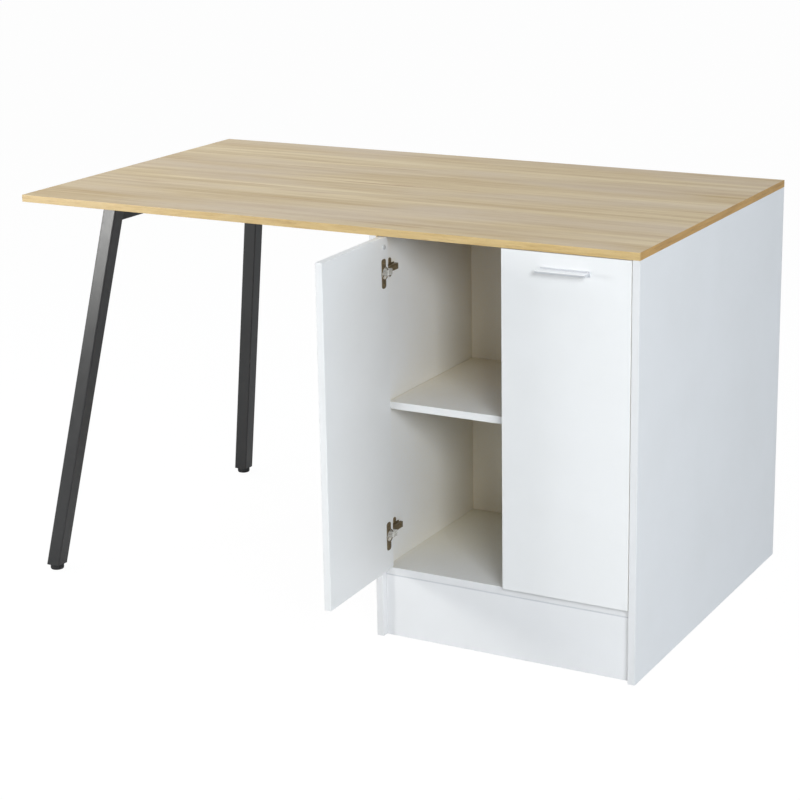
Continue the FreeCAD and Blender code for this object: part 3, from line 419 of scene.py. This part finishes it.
# One white board skin in several copies: the plinth's is painted darker, painted shade in its recess, and the
# shelves' is painted paler, painted light
WHITE_BOARD = board_finish("white_board_skin", screen(239, 239, 239), screen(234, 234, 233))
PLINTH_BOARD = board_finish("plinth_board_painted_shade", screen(236, 236, 237), screen(231, 231, 231),
                            seam=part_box("front_plinth")[1][2])
PANEL_BOARD = board_finish("panel_board_painted_shade", screen(240, 240, 241), screen(235, 235, 235),
                           painted_warm_shade=screen(236, 222, 186), front=screen(243, 243, 243))
SHELF_BOARD = board_finish("shelf_board_painted_light_and_shade", screen(242, 242, 241), screen(237, 237, 235),
                           painted_warm_shade=screen(236, 222, 186), front=screen(255, 255, 255))
FLOOR_BOARD = board_finish("floor_board_painted_shade", screen(240, 240, 240), screen(235, 235, 234),
                           painted_warm_shade=screen(222, 212, 182), front=screen(245, 245, 246))
DIVIDER_BOARD = board_finish("divider_board_painted_shade", screen(239, 239, 238), screen(234, 234, 232),
                             painted_warm_shade=screen(232, 214, 174))
HANDLE_ALUMINIUM = folded_finish("handle_aluminium_painted_light_and_shade", screen(248, 249, 251), screen(220, 222, 226))
BRONZE = dict(colour=screen(128, 112, 84), dull=screen(86, 74, 54), rough=0.36, tarnish=0.6, metallic=0.45)
HINGE_BRONZE = metal_finish("hinge_antique_bronze", **BRONZE)
LEFT_DOOR_OPENING = math.radians(88)
LEFT_DOOR_FACES = Vector((math.sin(LEFT_DOOR_OPENING), math.cos(LEFT_DOOR_OPENING), 0))
RIGHT_DOOR_FACES = Vector((0, 1, 0))
FLANGE_THICKNESS = 0.0013
# The pale colour painted on the hinge cups' walls: painted light
CUP_PAINTED_LIGHT = screen(250, 247, 240)


def cup_finish(name, cup, way):
    """The hinge cup's bronze with painted light on its walls from the door's face inwards."""
    top = max(point.co.dot(way) for point in NODES[cup].data.vertices)
    return metal_finish(name, **BRONZE, painted_cup_light=(way, top - FLANGE_THICKNESS, CUP_PAINTED_LIGHT))


LEFT_CUP = cup_finish("left_cup_bronze_painted_light", "left_upper_hinge_cup", LEFT_DOOR_FACES)
RIGHT_CUP = cup_finish("right_cup_bronze_painted_light", "right_upper_hinge_cup", RIGHT_DOOR_FACES)
HINGE_NICKEL = metal_finish("hinge_bright_nickel", screen(240, 238, 233), screen(204, 200, 192),
                            rough=0.2, metallic=0.45)
FIXING_STEEL = metal_finish("fixing_zinc_steel", screen(196, 196, 194), screen(140, 139, 136), rough=0.24)
CAM_ZINC = metal_finish("cam_cast_zinc", screen(172, 174, 178), screen(128, 130, 134), rough=0.4, tarnish=0.5)
DOWEL_BEECH = oak_finish("dowel_beech", screen(224, 196, 152), screen(211, 180, 135), screen(194, 160, 116),
                         screen(170, 132, 90), screen(208, 178, 136))
BUFFER_RUBBER = coated_finish("buffer_grey_rubber", screen(186, 187, 188), screen(200, 201, 202),
                              dimples=500.0, rough=0.5, wear=0.2)
LEG_BLACK = coated_finish("leg_black_coat", screen(17, 17, 18), screen(44, 44, 45),
                          dimples=1500.0, rough=0.27, wear=0.5, gloss=0.7)
FOOT_PLASTIC = coated_finish("foot_black_plastic", screen(24, 24, 25), screen(46, 46, 47),
                             dimples=1100.0, rough=0.45, wear=0.4)

# Each slot's finish, and the pieces that have one of their own
FINISHES = {
    "worktop_wood": WORKTOP_TOP,
    "worktop_edge": WORKTOP_LONG_EDGE,
    "white_board": WHITE_BOARD,
    "handle_aluminium": HANDLE_ALUMINIUM,
    "hinge_bronze": HINGE_BRONZE,
    "hinge_nickel": HINGE_NICKEL,
    "fixing_steel": FIXING_STEEL,
    "cam_zinc": CAM_ZINC,
    "dowel_beech": DOWEL_BEECH,
    "buffer_rubber": BUFFER_RUBBER,
    "leg_black": LEG_BLACK,
    "foot_plastic": FOOT_PLASTIC,
}
OWN_FINISHES = {
    "worktop_left_edging": WORKTOP_SHORT_EDGE_PAINTED_SHADE,
    "worktop_right_edging": WORKTOP_SHORT_EDGE_PAINTED_SHADE,
    "left_upper_hinge_cup": LEFT_CUP,
    "left_lower_hinge_cup": LEFT_CUP,
    "right_upper_hinge_cup": RIGHT_CUP,
    "right_lower_hinge_cup": RIGHT_CUP,
    "left_side_panel": PANEL_BOARD,
    "right_side_panel": PANEL_BOARD,
    "front_plinth": PLINTH_BOARD,
    "rear_plinth": PLINTH_BOARD,
    "divider_panel": DIVIDER_BOARD,
    "floor_panel": FLOOR_BOARD,
    "front_shelf": SHELF_BOARD,
    "rear_shelf": SHELF_BOARD,
}


def dress_cad_nodes():
    """Put each CAD piece's finish in its own material slot."""
    for part in frame["record"]["subparts"]:
        name = part["node"]
        piece = NODES[name]
        coat = OWN_FINISHES.get(name, FINISHES[part["material_slot"]])
        if not piece.material_slots:
            piece.data.materials.append(None)
        for slot in piece.material_slots:
            slot.material = coat


# Pieces that repeat

def loose_solids(name):
    """The separate solids of a CAD node, each as an array of its points."""
    shape = bmesh.new()
    shape.from_mesh(NODES[name].data)
    bmesh.ops.remove_doubles(shape, verts=shape.verts, dist=1e-6)
    solids = []
    seen = set()
    for first in shape.verts:
        if first in seen:
            continue
        seen.add(first)
        solid = [first]
        for vert in solid:
            for edge in vert.link_edges:
                other = edge.other_vert(vert)
                if other not in seen:
                    seen.add(other)
                    solid.append(other)
        solids.append(np.array([vert.co for vert in solid]))
    shape.free()
    return solids


def screw_measures(points):
    """Seat, outward way, head radius, head height, shank radius and shank length of one CAD screw."""
    middle = (points.max(0) + points.min(0)) / 2
    way = np.linalg.svd(points - points.mean(0), full_matrices=False)[2][0]
    along = (points - middle) @ way
    away = np.linalg.norm(points - middle - np.outer(along, way), axis=1)
    rim = along[away > 0.9 * away.max()]
    if rim.mean() < 0:
        way, along, rim = -way, -along, -rim
    seat = rim.min()
    shank = away[along < seat - 1e-4]
    return middle + seat * way, way, away.max(), along.max() - seat, shank.max(), seat - along.min()


def node_tree(name, inputs):
    """An empty Geometry Nodes tree with its named sizes."""
    tree = bpy.data.node_groups.new(name, "GeometryNodeTree")
    tree.interface.new_socket("Geometry", in_out="OUTPUT", socket_type="NodeSocketGeometry")
    tree.interface.new_socket("Geometry", in_out="INPUT", socket_type="NodeSocketGeometry")
    for label, kind in inputs.items():
        tree.interface.new_socket(label, in_out="INPUT", socket_type="NodeSocket" + kind)
    given = tree.nodes.new("NodeGroupInput").outputs
    made = tree.nodes.new("NodeGroupOutput").inputs
    return tree, given, made


def joined(tree, *pieces):
    """Several pieces of geometry as one."""
    node = add(tree, "GeometryNodeJoinGeometry")
    for piece in pieces:
        tree.links.new(piece, node.inputs[0])
    return node.outputs[0]


def three(tree, x, y, z):
    """A vector from three values."""
    return add(tree, "ShaderNodeCombineXYZ", {0: x, 1: y, 2: z}).outputs[0]


def shifted(tree, piece, place=(0, 0, 0), turn=(0, 0, 0), scale=(1, 1, 1)):
    """Geometry moved, turned and scaled."""
    return add(tree, "GeometryNodeTransform", {
        "Geometry": piece, "Translation": place, "Rotation": turn, "Scale": scale}).outputs[0]


# A screw's cross recess, as shares of its head's radius and height
RECESS_LENGTH = 1.15
RECESS_WIDTH = 0.24
RECESS_LEVEL = 0.95


def make_cross_screws():
    """Domed screws with a cross recess, one on each point, standing along the point's way."""
    tree, given, made = node_tree("cross_screws", {
        "Head Radius": "Float", "Head Height": "Float", "Shank Radius": "Float", "Shank Length": "Float",
        "Finish": "Material"})
    radius, height = given["Head Radius"], given["Head Height"]
    ball = add(tree, "GeometryNodeMeshUVSphere", {"Segments": 24, "Rings": 12, "Radius": 1.0}).outputs[0]
    dome = shifted(tree, ball, scale=three(tree, radius, radius, height))
    block = add(tree, "GeometryNodeMeshCube", {
        "Size": three(tree, worked(tree, "MULTIPLY", radius, 4.0), worked(tree, "MULTIPLY", radius, 4.0),
                      worked(tree, "MULTIPLY", height, 4.0))}).outputs[0]
    upper = shifted(tree, block, three(tree, 0.0, 0.0, worked(tree, "MULTIPLY", height, 2.0)))
    cap = add(tree, "GeometryNodeMeshBoolean", operation="INTERSECT", solver="EXACT")
    tree.links.new(dome, cap.inputs["Mesh 2"])
    tree.links.new(upper, cap.inputs["Mesh 2"])
    wing = add(tree, "GeometryNodeMeshCube", {
        "Size": three(tree, worked(tree, "MULTIPLY", radius, RECESS_LENGTH),
                      worked(tree, "MULTIPLY", radius, RECESS_WIDTH), height)}).outputs[0]
    raised_wing = shifted(tree, wing, three(tree, 0.0, 0.0, worked(tree, "MULTIPLY", height, RECESS_LEVEL)))
    other_wing = shifted(tree, raised_wing, turn=(0, 0, math.pi / 2))
    recess = add(tree, "GeometryNodeMeshBoolean", {"Mesh 1": cap.outputs[0]},
                 operation="DIFFERENCE", solver="EXACT")
    tree.links.new(raised_wing, recess.inputs["Mesh 2"])
    tree.links.new(other_wing, recess.inputs["Mesh 2"])
    length = given["Shank Length"]
    rod = add(tree, "GeometryNodeMeshCylinder", {
        "Vertices": 14, "Radius": given["Shank Radius"], "Depth": length}).outputs[0]
    shank = shifted(tree, rod, three(tree, 0.0, 0.0, worked(tree, "MULTIPLY", length, -0.5)))
    way = add(tree, "GeometryNodeInputNamedAttribute", {"Name": "way"}, data_type="FLOAT_VECTOR").outputs[0]
    stand = add(tree, "FunctionNodeAlignRotationToVector", {"Vector": way}, axis="Z").outputs[0]
    spin = add(tree, "FunctionNodeRandomValue", {"Min": 0.0, "Max": 3.0, "Seed": 7}, data_type="FLOAT")
    row = add(tree, "GeometryNodeInstanceOnPoints", {
        "Points": given["Geometry"], "Instance": joined(tree, recess.outputs[0], shank), "Rotation": stand})
    turned = add(tree, "GeometryNodeRotateInstances", {
        "Instances": row.outputs[0], "Rotation": three(tree, 0.0, 0.0, spin.outputs[1])})
    whole = add(tree, "GeometryNodeRealizeInstances", {"Geometry": turned.outputs[0]}).outputs[0]
    coat = add(tree, "GeometryNodeSetMaterial", {"Geometry": whole, "Material": given["Finish"]})
    tree.links.new(coat.outputs[0], made["Geometry"])
    return tree


def make_beads():
    """Uneven round beads along lines, one for each point."""
    tree, given, made = node_tree("beads", {"Size": "Float", "Spread": "Float", "Finish": "Material"})
    drop = add(tree, "GeometryNodeMeshIcoSphere", {"Radius": given["Size"], "Subdivisions": 2}).outputs[0]
    uneven = add(tree, "FunctionNodeRandomValue", {"Seed": 3}, data_type="FLOAT")
    feed(tree, uneven.inputs[2], worked(tree, "SUBTRACT", 1.0, given["Spread"]))
    feed(tree, uneven.inputs[3], worked(tree, "ADD", 1.0, given["Spread"]))
    row = add(tree, "GeometryNodeInstanceOnPoints", {
        "Points": given["Geometry"], "Instance": drop, "Scale": uneven.outputs[1]})
    whole = add(tree, "GeometryNodeRealizeInstances", {"Geometry": row.outputs[0]}).outputs[0]
    smooth = add(tree, "GeometryNodeSetShadeSmooth", {"Geometry": whole}).outputs[0]
    coat = add(tree, "GeometryNodeSetMaterial", {"Geometry": smooth, "Material": given["Finish"]})
    tree.links.new(coat.outputs[0], made["Geometry"])
    return tree


def make_grip_ribs():
    """Upright ribs round a foot's rim."""
    tree, given, made = node_tree("grip_ribs", {
        "Count": "Int", "Rim Radius": "Float", "Rib Radius": "Float", "Rib Height": "Float",
        "Finish": "Material"})
    ring = add(tree, "GeometryNodeMeshCircle", {"Vertices": given["Count"], "Radius": given["Rim Radius"]})
    rib = add(tree, "GeometryNodeMeshCylinder", {
        "Vertices": 8, "Radius": given["Rib Radius"], "Depth": given["Rib Height"]}).outputs[0]
    row = add(tree, "GeometryNodeInstanceOnPoints", {"Points": ring.outputs[0], "Instance": rib})
    placed = add(tree, "GeometryNodeInstanceOnPoints", {
        "Points": given["Geometry"], "Instance": row.outputs[0]})
    whole = add(tree, "GeometryNodeRealizeInstances", {"Geometry": placed.outputs[0]}).outputs[0]
    coat = add(tree, "GeometryNodeSetMaterial", {"Geometry": whole, "Material": given["Finish"]})
    tree.links.new(coat.outputs[0], made["Geometry"])
    return tree


def grown(name, tree, points, sizes, ways=None):
    """The plain mesh that a Geometry Nodes tree makes from points, as an object at the origin."""
    seed = bpy.data.meshes.new(name + "_points")
    seed.from_pydata([tuple(point) for point in points], [], [])
    if ways is not None:
        attribute = seed.attributes.new("way", "FLOAT_VECTOR", "POINT")
        attribute.data.foreach_set("vector", np.asarray(ways, dtype=np.float32).ravel())
    piece = bpy.data.objects.new(name, seed)
    bpy.context.collection.objects.link(piece)
    modifier = piece.modifiers.new("grow", "NODES")
    modifier.node_group = tree
    sockets = {item.name: item.identifier for item in tree.interface.items_tree
               if item.item_type == "SOCKET" and item.in_out == "INPUT"}
    for label, setting in sizes.items():
        modifier[sockets[label]] = setting
    seen = piece.evaluated_get(bpy.context.evaluated_depsgraph_get())
    mesh = bpy.data.meshes.new_from_object(seen)
    piece.modifiers.remove(modifier)
    piece.data = mesh
    mesh.name = name
    return piece


# Weld beads and the feet's grip ribs, in metres
WELD_STEP = 0.0021
WELD_SIZE = 0.0019
WELD_SPREAD = 0.22
WELD_INSET = 0.003
RIB_COUNT = 28
RIB_RADIUS = 0.0007
RIB_HEIGHT = 0.0066
RIB_LEVEL = 0.0062
RIB_SINK = 0.0002
SAME_PLACE = 1e-5

# The CAD screws that get cross heads, with their bodies and slots
SCREW_NODES = {
    "left_cup_screws": ("left_door", "hinge_bronze"),
    "right_cup_screws": ("right_door", "hinge_bronze"),
    "left_handle_screws": ("left_door", "fixing_steel"),
    "right_handle_screws": ("right_door", "fixing_steel"),
    "plate_screws": ("cabinet", "hinge_bronze"),
    "arm_screws": ("cabinet", "hinge_bronze"),
    "worktop_screws": ("cabinet", "fixing_steel"),
    "leg_plate_screws": ("cabinet", "leg_black"),
}


def fit_screws():
    """Cross-head screws in the place of the CAD ones, which have plain heads."""
    tree = make_cross_screws()
    for name, (body, slot) in SCREW_NODES.items():
        found = [screw_measures(points) for points in loose_solids(name)]
        radius, height, shank, length = (float(np.mean([one[n] for one in found])) for n in (2, 3, 4, 5))
        piece = grown(name + "_cross_head", tree, [one[0] for one in found], {
            "Head Radius": radius, "Head Height": height, "Shank Radius": shank, "Shank Length": length,
            "Finish": FINISHES[slot]}, [one[1] for one in found])
        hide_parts(name)
        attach(piece, body)


def stepped(start, end, step):
    """Points from one place to another, about a step apart."""
    start, end = Vector(start), Vector(end)
    count = max(2, round((end - start).length / step))
    return [start.lerp(end, n / count) for n in range(count + 1)]


def leg_top_seam(end):
    """Points round the top of a leg, where it is welded under its mounting plate."""
    points = np.array([vert.co for vert in NODES[end + "_leg"].data.vertices])
    top = points[points[:, 2] > points[:, 2].max() - SAME_PLACE]
    low, high = top.min(0), top.max(0)
    seam = []
    for x in (low[0], high[0]):
        seam += stepped((x, low[1] + WELD_INSET, low[2]), (x, high[1] - WELD_INSET, low[2]), WELD_STEP)
    for y in (low[1], high[1]):
        seam += stepped((low[0] + WELD_INSET, y, low[2]), (high[0] - WELD_INSET, y, low[2]), WELD_STEP)
    return seam


def rail_end_seam(end):
    """Points down both sides and along the bottom of the cross rail's end on a leg."""
    points = np.array([vert.co for vert in NODES["leg_cross_rail"].data.vertices])
    half = (points[:, 1].min() + points[:, 1].max()) / 2
    points = points[points[:, 1] < half] if end == "front" else points[points[:, 1] > half]
    seam = []
    for axis, side in ((0, points[:, 0].min()), (0, points[:, 0].max()), (2, points[:, 2].min())):
        line = points[np.abs(points[:, axis] - side) < SAME_PLACE]
        across = line[:, 2 - axis]
        seam += stepped(line[across.argmin()], line[across.argmax()], WELD_STEP)
    return seam


def fit_weld_beads():
    """Weld beads where each leg meets its mounting plate and the cross rail."""
    tree = make_beads()
    for end in ("front", "rear"):
        seam = leg_top_seam(end) + rail_end_seam(end)
        piece = grown(end + "_leg_weld_beads", tree, seam, {
            "Size": WELD_SIZE, "Spread": WELD_SPREAD, "Finish": LEG_BLACK})
        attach(piece, "cabinet")


def fit_foot_ribs():
    """Grip ribs round each levelling foot."""
    tree = make_grip_ribs()
    for end in ("front", "rear"):
        low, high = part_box(end + "_levelling_foot")
        middle = (Vector(low) + Vector(high)) / 2
        radius = (high[0] - low[0]) / 2
        piece = grown(end + "_foot_grip_ribs", tree, [(middle.x, middle.y, low[2] + RIB_LEVEL)], {
            "Count": RIB_COUNT, "Rim Radius": radius - RIB_SINK, "Rib Radius": RIB_RADIUS,
            "Rib Height": RIB_HEIGHT, "Finish": FOOT_PLASTIC})
        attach(piece, end + "_foot")


# Light, floor and camera

# Each lamp's place, aim, width, power and tint
LAMPS = {
    "left_front_lamp": ((-1.95, -1.95, 1.05), (-0.5, -0.4, 0.7), 0.6, 22.5, (1.0, 1.0, 0.98)),
    "right_front_lamp": ((3.1, -3.5, 2.3), (0.4, -0.2, 0.6), 1.4, 121.0, (0.92, 0.965, 1.0)),
    "right_side_lamp": ((4.4, 1.3, 1.5), (0.7, 0.2, 0.5), 1.4, 18.0, (0.68, 0.84, 1.0)),
    "top_lamp": ((-2.1, 0.3, 3.5), (-0.3, 0.1, 0.9), 2.4, 45.0, (0.94, 0.97, 1.0)),
}
WHITE = (1, 1, 1, 1)
ROOM_LIGHT = 0.32
ROOM_TINT = (0.95, 0.98, 1.0, 1)
MIRRORED_LOW = 0.25
FLOOR_HALF = 30.0
FLOOR_LEVEL = -0.0004
FLOOR_GLOW = 1.03
FLOOR_SHOWN_SHARE = 0.94
FLOOR_MIRRORED_SHARE = 0.12


def mirrored_rays(tree, path):
    """Rays that show the room in gloss or through glass."""
    return worked(tree, "MAXIMUM", path["Is Glossy Ray"], path["Is Transmission Ray"])


def white_room():
    """A white room that lights the part evenly, and is darker near the floor where gloss mirrors it."""
    world = bpy.data.worlds.new("white_room")
    bpy.context.scene.world = world
    world.use_nodes = True
    tree = world.node_tree
    tree.nodes.clear()
    path = add(tree, "ShaderNodeLightPath").outputs
    shown = worked(tree, "MAXIMUM", path["Is Camera Ray"], mirrored_rays(tree, path))
    height = axis_of(tree, add(tree, "ShaderNodeTexCoord").outputs["Generated"], "Z")
    mirrored = between(tree, height, -0.05, 0.35, MIRRORED_LOW, 1.0)
    bright = worked(tree, "MAXIMUM", path["Is Camera Ray"], mirrored)
    level = between(tree, shown, 0, 1, ROOM_LIGHT, bright)
    tint = blend(tree, shown, ROOM_TINT, WHITE)
    room = add(tree, "ShaderNodeBackground", {"Color": tint, "Strength": level})
    add(tree, "ShaderNodeOutputWorld", {"Surface": room.outputs[0]})


def soft_lamps():
    """Four soft square lamps: two in front, one on the right and one above."""
    for name, (place, aim, width, power, tint) in LAMPS.items():
        data = bpy.data.lights.new(name, "AREA")
        data.shape = "SQUARE"
        data.size = width
        data.energy = power
        data.color = tint
        lamp = bpy.data.objects.new(name, data)
        lamp.location = place
        lamp.rotation_euler = (Vector(aim) - Vector(place)).to_track_quat("-Z", "Y").to_euler()
        bpy.context.collection.objects.link(lamp)


def pale_floor():
    """A wide pale floor that the camera sees as nearly white, with the part's shadow on it."""
    mesh = bpy.data.meshes.new("studio_floor")
    corners = [(-1, -1), (1, -1), (1, 1), (-1, 1)]
    mesh.from_pydata([(x * FLOOR_HALF, y * FLOOR_HALF, FLOOR_LEVEL) for x, y in corners], [], [(0, 1, 2, 3)])
    floor = bpy.data.objects.new("studio_floor", mesh)
    bpy.context.collection.objects.link(floor)
    coat = bpy.data.materials.new("studio_floor_white")
    coat.use_nodes = True
    tree = coat.node_tree
    tree.nodes.clear()
    path = add(tree, "ShaderNodeLightPath").outputs
    matt = add(tree, "ShaderNodeBsdfDiffuse", {"Color": screen(232, 232, 232)})
    glow = add(tree, "ShaderNodeEmission", {"Color": WHITE, "Strength": FLOOR_GLOW})
    shown = worked(tree, "MULTIPLY", path["Is Camera Ray"], FLOOR_SHOWN_SHARE)
    mirrored = worked(tree, "MULTIPLY", mirrored_rays(tree, path), FLOOR_MIRRORED_SHARE)
    share = worked(tree, "MAXIMUM", shown, mirrored)
    both = add(tree, "ShaderNodeMixShader", {0: share, 1: matt.outputs[0], 2: glow.outputs[0]})
    add(tree, "ShaderNodeOutputMaterial", {"Surface": both.outputs[0]})
    mesh.materials.append(coat)


def photo_camera():
    """The camera at the photograph's angle, fitted to its edges."""
    data = bpy.data.cameras.new("photo_camera")
    data.sensor_width = CAMERA_SENSOR
    data.lens = CAMERA_LENS
    data.shift_y = CAMERA_SHIFT
    camera = bpy.data.objects.new("photo_camera", data)
    bpy.context.collection.objects.link(camera)
    look = (Vector(CAMERA_AIM) - Vector(CAMERA_PLACE)).to_track_quat("-Z", "Y").to_matrix()
    turn = look @ Matrix.Rotation(math.radians(CAMERA_ROLL), 3, "Z")
    camera.matrix_world = Matrix.Translation(CAMERA_PLACE) @ turn.to_4x4()
    bpy.context.scene.camera = camera


dress_cad_nodes()
fit_screws()
fit_weld_beads()
fit_foot_ribs()
white_room()
soft_lamps()
pale_floor()
photo_camera()
bpy.context.scene.view_settings.view_transform = "Standard"
